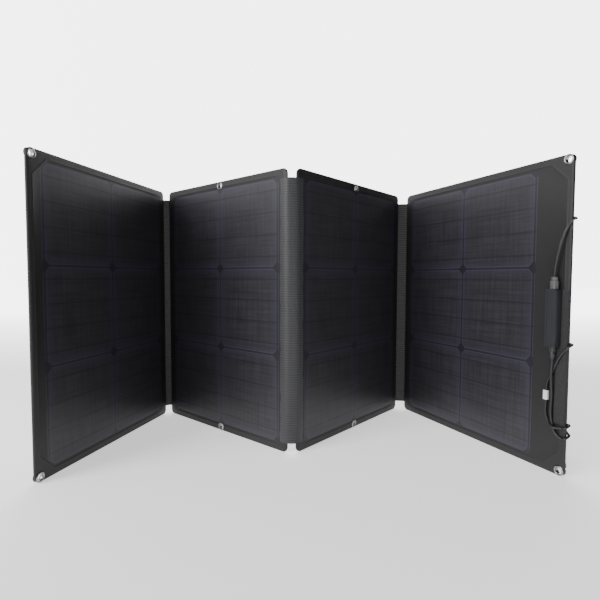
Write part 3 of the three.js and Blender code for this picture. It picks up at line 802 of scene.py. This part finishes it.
# A bend is a curve with this many points, whose handles take this share of the distance it spans.
BEND_STEPS = 14
HANDLE_SHARE = 0.42

# How far the fold fabric reaches into a panel, and how deep it lies there, from its end outwards. In
# a valley it is tucked between the covers, and at the peak it lies on the front cover.
VALLEY_TUCK = [(6, 0.4), (3, 0.8), (1, 1.3)]
PEAK_TUCK = [(17, 1.7), (15, 2.05), (12, 2.3), (7.5, 2.35)]


def fold_line(left_body, left_u, left_t, right_body, right_u, right_t):
    """Points, in plan, of fabric that bends from one piece to the next."""
    start = place(left_body, left_u, left_t, 0)
    end = place(right_body, right_u, right_t, 0)
    tangent_left = (start - place(left_body, left_u - 1, left_t, 0)).normalized()
    tangent_right = (place(right_body, right_u + 1, right_t, 0) - end).normalized()
    reach = (end - start).length * HANDLE_SHARE
    handles = (start, start + tangent_left * reach, end - tangent_right * reach, end)
    return geometry.interpolate_bezier(*handles, BEND_STEPS)


def strip_line(index, left_half):
    """Points, in plan, of half of a fold's fabric, and how it blends from one body to the next."""
    number = index + 1
    strip = f"strip_{number}"
    side = math.copysign(1, FOLD_TURNS[index])
    width = STRIP_WIDTHS[index]
    middle_t = side * STRIP_MIDDLE
    tuck = PEAK_TUCK if side > 0 else VALLEY_TUCK
    bend = width / 2 - PEAK_BEND_GAP if side > 0 else VALLEY_BEND
    entry, entry_depth = tuck[-1]
    middle = [place(strip, width / 2, middle_t, 0)]
    if left_half:
        panel = f"panel_{number}"
        edge = PANEL_WIDTHS[index]
        tucked = [place(panel, edge - reach, side * depth, 0) for reach, depth in tuck[:-1]]
        curve = fold_line(panel, edge - entry, side * entry_depth, strip, bend, middle_t)
        line = tucked + curve + middle
        panel_end = place(panel, edge - BLEND_REACH, middle_t, 0)
        return line, (panel, strip, panel_end, place(strip, BLEND_REACH, middle_t, 0))
    panel = f"panel_{number + 1}"
    tucked = [place(panel, reach, side * depth, 0) for reach, depth in reversed(tuck[:-1])]
    curve = fold_line(strip, width - bend, middle_t, panel, entry, side * entry_depth)
    line = middle + curve + tucked
    panel_end = place(panel, BLEND_REACH, middle_t, 0)
    return line, (strip, panel, place(strip, width - BLEND_REACH, middle_t, 0), panel_end)


def line_normals(line):
    """The front direction at each point of a line in plan."""
    normals = []
    for index in range(len(line)):
        before = line[max(index - 1, 0)]
        after = line[min(index + 1, len(line) - 1)]
        forward = (after - before).normalized()
        normals.append(Vector((forward.y, -forward.x, 0)))
    return normals


def strip_half(index, left_half):
    """Half of a fold's fabric, from inside one panel's edge to the middle of the strip."""
    number = index + 1
    line, blended = strip_line(index, left_half)
    lengths = [0.0]
    for here, after in zip(line, line[1:]):
        lengths.append(lengths[-1] + (after - here).length / MM)
    normals = line_normals(line)
    points = []
    flat = []
    for sign in (1, -1):
        for row in range(STRIP_ROWS + 1):
            z = STRIP_END + (PANEL_HEIGHT - 2 * STRIP_END) * row / STRIP_ROWS
            for spot, normal, length in zip(line, normals, lengths):
                ruck = STRIP_WAVE * ripple(length * 2, z, number + STRIP_SEED, 14)
                off = normal * (sign * STRIP_HALF_THICKNESS + ruck) * MM
                points.append(spot + off + Vector((0, 0, z * MM)))
                flat.append((length, z))
    faces = sheet_faces(len(line) - 1, STRIP_ROWS)
    name = f"fold_fabric_{number}_{'left' if left_half else 'right'}"
    material = PEAK_STRIP if FOLD_TURNS[index] > 0 else STRIP
    made = add_mesh(name, points, faces, material, flat)
    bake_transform(made)
    return finish_piece(made, None, [f"hinge_strip_{number}"])


# ---- Leads ----

# Routes of the leads in the last panel's frame, as (u, t, z): points that a hand would lay them
# through.
INPUT_ROUTE = [
    (378, -6.4, 402.5),
    (378.2, -6.6, 406.6),
    (380.4, -7.2, 411.4),
    (386, -7.8, 414.6),
    (392.6, -8.2, 414.8),
    (399.4, -8.3, 413),
    (405.4, -7.3, 411.2),
    (409.5, -3.4, 409.8),
    (410.4, 1.4, 408.6),
    (407.9, 5.8, 406.8),
    (403.4, 8.4, 401.4),
    (399.6, 10, 391),
    (395.4, 11, 374),
    (391, 11.4, 355),
    (387.6, 11.2, 338),
    (386, 10.5, 327),
    (386, 10.5, 320.3),
]

OUTPUT_ROUTE = [
    (386, 10.5, 187.7),
    (386, 10.5, 180),
    (385.4, 11.2, 169),
    (384.6, 9.8, 155),
    (384, 7.2, 141),
    (383.8, 5.9, 128),
    (383.2, 5.5, 117),
    (382.6, 5.5, 106),
    (383.4, 5.5, 94),
    (386.2, 5.5, 81),
    (390.2, 5.6, 70.5),
    (396.5, 5.8, 64.8),
    (402.8, 7.7, 62.6),
    (407.9, 5.8, 63.8),
    (410.4, 1.4, 65.4),
    (409.5, -3.4, 67.2),
    (405.4, -7.3, 70),
    (400.2, -8.2, 75.6),
    (395.4, -7.8, 83.6),
    (391, -7, 97),
    (388.4, -6.3, 112),
    (387.5, -6.3, 128),
    (387.5, -6.3, 150),
    (387.5, -6.3, 172),
    (388.4, -6.6, 190),
    (391, -7.2, 201),
    (395, -8, 209.4),
    (400.2, -8.3, 213.4),
    (405.4, -7.3, 213.6),
    (409.5, -3.4, 212.6),
    (410.4, 1.4, 211.2),
    (407.9, 5.8, 208.6),
    (402.6, 7.8, 203.4),
    (397, 7.4, 194.5),
    (392, 7, 184.5),
    (387, 6.6, 173.5),
    (382.6, 5.6, 164),
    (377.8, 5.5, 155),
    (374.9, 6, 145),
    (374.5, 6.4, 136),
    (374.5, 6.4, 127),
    (374.5, 6.4, 117),
    (374.1, 6.1, 108),
    (374, 5.7, 99),
    (376.2, 5.8, 90),
    (380.8, 7.6, 83.4),
    (386.4, 9.7, 79.6),
    (392.6, 9.9, 78.2),
    (399.4, 8.9, 78.6),
    (405.4, 7.6, 80),
    (409.8, 3.6, 81.8),
    (410.4, -1.4, 83.4),
    (407.9, -6.2, 84.6),
    (403.2, -9.6, 84),
    (398.6, -11.6, 80),
    (395.4, -12.8, 72.4),
    (393.6, -13.4, 62),
    (392, -13.8, 48),
    (391.6, -15.4, 34),
    (391.2, -19.5, 19),
    (389, -26, 7.4),
    (383.5, -31.5, 2.7),
    (375, -34.5, 2.2),
    (364, -35, 2.2),
    (352, -34, 2.6),
    (342, -33.2, 3),
    (333, -33, 3.3),
]

TAIL_ROUTE = [
    (287, -79, 14.6),
    (287, -88, 11.6),
    (287.3, -98, 7.6),
    (288, -107, 6.1),
    (288, -114, 6),
]


STEPS_PER_STRETCH = 6


def through_points(route):
    """A smooth line through given points, as (u, t, z)."""
    spots = [Vector(point) for point in route]
    line = []
    for index in range(len(spots) - 1):
        before = spots[max(index - 1, 0)]
        here, after = spots[index], spots[index + 1]
        beyond = spots[min(index + 2, len(spots) - 1)]
        for step in range(STEPS_PER_STRETCH):
            s = step / STEPS_PER_STRETCH
            line.append(
                0.5
                * (
                    2 * here
                    + (after - before) * s
                    + (2 * before - 5 * here + 4 * after - beyond) * s * s
                    + (3 * here - before - 3 * after + beyond) * s**3
                )
            )
    line.append(spots[-1])
    return line


# The turns go round the bundle's middle between these angles, and the lead joins and leaves the coil
# over this share of a turn.
BUNDLE_START = math.radians(-38)
BUNDLE_END = math.radians(-322)
COIL_LEAD_IN = 0.3
STEPS_PER_TURN = 40


def coil_points():
    """Turns laid round a bundle: each turn sits beside the last, on a ring round the bundle's middle."""
    u, t, z = COIL_CENTRE
    start = Vector(OUTPUT_ROUTE[-1])
    end = Vector(TAIL_ROUTE[0])
    start_angle = math.atan2(-(start.y - t), start.x - u)
    end_angle = math.atan2(-(end.y - t), end.x - u)
    sweep = (start_angle - end_angle) % (2 * math.pi) + 2 * math.pi * COIL_TURNS
    turns = sweep / (2 * math.pi)
    reach = Vector((start.x - u, start.y - t)).length
    steps = round(turns * STEPS_PER_TURN)
    line = []
    for step in range(1, steps):
        s = step / steps
        angle = start_angle - sweep * s
        around = BUNDLE_START + (BUNDLE_END - BUNDLE_START) * s
        radius = COIL_RADIUS + COIL_BUNDLE * math.cos(around)
        height = z + COIL_BUNDLE * math.sin(around)
        into = min(1.0, s * turns / COIL_LEAD_IN)
        out = min(1.0, (1 - s) * turns / COIL_LEAD_IN)
        into, out = (x * x * (3 - 2 * x) for x in (into, out))
        radius = reach + (radius - reach) * into * out
        height = start.z + (height - start.z) * into
        height = end.z + (height - end.z) * out
        line.append(Vector((u + radius * math.cos(angle), t - radius * math.sin(angle), height)))
    return line


# Leads are drawn closer to the outer edge from this distance on, fully after the rise, over this
# reach away from the panel, and only above this height, with this clearance.
HUG_FROM_U = 394
HUG_RISE = 8
HUG_REACH = 9
HUG_ABOVE = 60
HUG_CLEARANCE = 0.2


def hug_edge(spot):
    """Draws a lead's point closer to the panel's outer edge, which the CAD's coarser tube clears."""
    closest = Vector((min(spot.x, PANEL_WIDTHS[LAST]), max(-PANEL_HALF, min(PANEL_HALF, spot.y))))
    away = Vector((spot.x, spot.y)) - closest
    snug = LEAD_DIAMETER / 2 + HUG_CLEARANCE
    if spot.z < HUG_ABOVE or away.length < snug:
        return spot
    share = min(1, max(0, (spot.x - HUG_FROM_U) / HUG_RISE))
    share *= min(1, max(0, 2 * (1 - (away.length - snug) / HUG_REACH)))
    moved = closest + away.normalized() * (away.length + (snug - away.length) * share)
    return Vector((moved.x, moved.y, spot.z))


def lead(name, line):
    """A round lead along points of the last panel's frame."""
    points = [place("panel_4", *hug_edge(spot)) for spot in line]
    data = bpy.data.curves.new(name, "CURVE")
    data.dimensions = "3D"
    data.bevel_depth = LEAD_DIAMETER / 2 * MM
    data.bevel_resolution = 5
    data.use_fill_caps = True
    spline = data.splines.new("POLY")
    spline.points.add(len(points) - 1)
    for spot, point in zip(spline.points, points):
        spot.co = (*point, 1)
    spline.use_smooth = True
    data.materials.append(LEAD)
    made = bpy.data.objects.new(name, data)
    bpy.context.scene.collection.objects.link(made)
    return made, points


def add_leads():
    """The lead from the junction box to the controller, and the one from there to the plug."""
    made, points = lead("input_cable", through_points(INPUT_ROUTE))
    finish_piece(made, "panel_4", ["input_lead"])
    route = through_points(OUTPUT_ROUTE) + coil_points() + through_points(TAIL_ROUTE)
    made, points = lead("output_cable", route)
    finish_piece(made, "panel_4", ["output_lead", "lead_coil", "lead_tail"])


# ---- Glands ----

# Profiles as (radius, distance outwards from the casing's wall).
GLAND_STUB = [(2.6, -3.4), (2.6, 0)]
TOP_GLAND_NUT = [(5.9, 0), (6.4, 0.5), (6.4, 3.2), (5.8, 3.7)]
TOP_GLAND_NUT += [(5.8, 4.4), (6.4, 4.9), (6.4, 12.4), (5.9, 13)]
TOP_GLAND_NOSE = [(4.6, 13.4), (5.0, 14), (5.0, 18.4), (4.5, 18.9), (3.4, 19.6), (2.05, 19.6)]
BOTTOM_GLAND_NUT = [(4.8, 0), (5.2, 0.4), (5.2, 7.4), (4.8, 8)]
BOTTOM_GLAND_NOSE = [(4.0, 8.4), (4.3, 9), (4.3, 14.4), (3.9, 15.2), (3.1, 19.2), (2.05, 19.6)]


def gland(name, replaced, z, direction, nut, nose, material):
    """A stub through the casing's wall, a ribbed nut, and a nose round the lead."""
    origin = (GLAND_U, GLAND_T, z)
    profile = GLAND_STUB + nut + nose
    ribbed_from = max(radius for radius, _ in nut)
    axis = (0, 0, direction)
    made = lathe(name, "panel_4", origin, axis, profile, material, 96, ribbed_from)
    return finish_piece(made, "panel_4", [replaced])


# ---- Build the object ----

add_leads()

for panel_index in range(4):
    front_fabric(panel_index)
    back_fabric(panel_index)
    film(panel_index)
    eyelets(panel_index)

for fold_index in range(3):
    strip_half(fold_index, True)
    strip_half(fold_index, False)

# Both glands are one moulding. The upper one gets a lighter grey as painted light, and the lower one the
# black moulding as painted shade.
gland("gland_upper", "gland_top", CASING_TOP, 1, TOP_GLAND_NUT, TOP_GLAND_NOSE, LIT_GLAND_GREY)
gland("gland_lower", "gland_bottom", CASING_BOTTOM, -1, BOTTOM_GLAND_NUT, BOTTOM_GLAND_NOSE, MOULDING)


def dress_nodes():
    """The CAD nodes that stay visible get their materials, and the moulded ones softer edges."""
    finishes = {
        "cell_row": CELL,
        "board": BOARD,
        "link_lead": LEAD,
        "controller": MOULDING,
        "junction_box": MOULDING,
        "plug_body": MOULDING,
        "plug_barrel": METAL,
        "circuit_board": CIRCUIT,
        "hook_loop_tape": TAPE,
        "lead_keeper": TAPE,
        "coil_tie": TAPE,
        "lead_tag": TAG,
    }
    for name, node in frame["nodes"].items():
        for start, material in finishes.items():
            if name.startswith(start):
                node.data.materials.clear()
                node.data.materials.append(material)
    for name in ("controller_base", "controller_lid", "junction_box", "junction_box_lid", "lead_tag"):
        round_edges(frame["nodes"][name], 0.5)
    for name in ("plug_body", "plug_barrel"):
        frame["nodes"][name].data.shade_smooth()


dress_nodes()

# ---- Stage: pale floor and soft studio light ----

# The floor glows a little, as a white sweep lit from below does, and more far behind the object. The
# change starts and ends at these distances, in millimetres.
FLOOR_GLOW = 0.88
BACK_GLOW = 4.5
BACK_START = 600
BACK_END = 3000

# Sky strength along a direction: where it starts and ends to change, and its levels there.
SKY_LEVELS = {
    (-0.97, -0.25, 0): (0.1, 1.0, 0.06, 1.5),
    (0, 1, 0): (0.6, 0.74, 0.0, 5.0),
}


def add_floor():
    """A wide pale floor, 12 metres to each side."""
    mesh = bpy.data.meshes.new("floor")
    reach = 12
    corners = [(-reach, -reach, 0), (reach, -reach, 0), (reach, reach, 0), (-reach, reach, 0)]
    mesh.from_pydata(corners, [], [(0, 1, 2, 3)])
    floor = bpy.data.objects.new("floor", mesh)
    bpy.context.scene.collection.objects.link(floor)
    pale = Shader("floor", (0.93, 0.93, 0.93), 0.9)
    behind = pale.node("ShaderNodeSeparateXYZ", {"Vector": pale.space_place()}).outputs["Y"]
    share = pale.span(behind, BACK_START, BACK_END)
    glow = pale.math("MULTIPLY_ADD", share, BACK_GLOW - FLOOR_GLOW, FLOOR_GLOW)
    pale.feed(pale.surface.inputs["Emission Strength"], glow)
    pale.surface.inputs["Emission Color"].default_value = (1, 1, 1, 1)
    mesh.materials.append(pale.material)


def add_light(name, place_m, target, size, power):
    """A square soft light, in metres and watts."""
    data = bpy.data.lights.new(name, "AREA")
    data.shape = "SQUARE"
    data.size = size
    data.energy = power
    made = bpy.data.objects.new(name, data)
    bpy.context.scene.collection.objects.link(made)
    made.location = place_m
    made.rotation_euler = (Vector(target) - Vector(place_m)).to_track_quat("-Z", "Y").to_euler()


def add_world():
    """A studio that is bright behind the object and on its left, and dimmer on its right."""
    world = bpy.data.worlds.new("studio")
    world.use_nodes = True
    nodes, links = world.node_tree.nodes, world.node_tree.links
    nodes["Background"].inputs["Color"].default_value = (1, 1, 1, 1)
    direction = nodes.new("ShaderNodeTexCoord").outputs["Generated"]
    levels = []
    for side, (start, end, low, high) in SKY_LEVELS.items():
        facing = nodes.new("ShaderNodeVectorMath")
        facing.operation = "DOT_PRODUCT"
        facing.inputs[1].default_value = side
        links.new(direction, facing.inputs[0])
        level = nodes.new("ShaderNodeMapRange")
        level.interpolation_type = "SMOOTHSTEP"
        for socket, value in zip(("From Min", "From Max", "To Min", "To Max"), (start, end, low, high)):
            level.inputs[socket].default_value = value
        links.new(facing.outputs["Value"], level.inputs["Value"])
        levels.append(level.outputs["Result"])
    total = nodes.new("ShaderNodeMath")
    links.new(levels[0], total.inputs[0])
    links.new(levels[1], total.inputs[1])
    links.new(total.outputs[0], nodes["Background"].inputs["Strength"])
    bpy.context.scene.world = world


add_floor()
add_world()
add_light("key", place_m=(-2.0, -1.4, 1.4), target=(0, 0, 0.3), size=1.1, power=48)

bpy.context.view_layer.update()
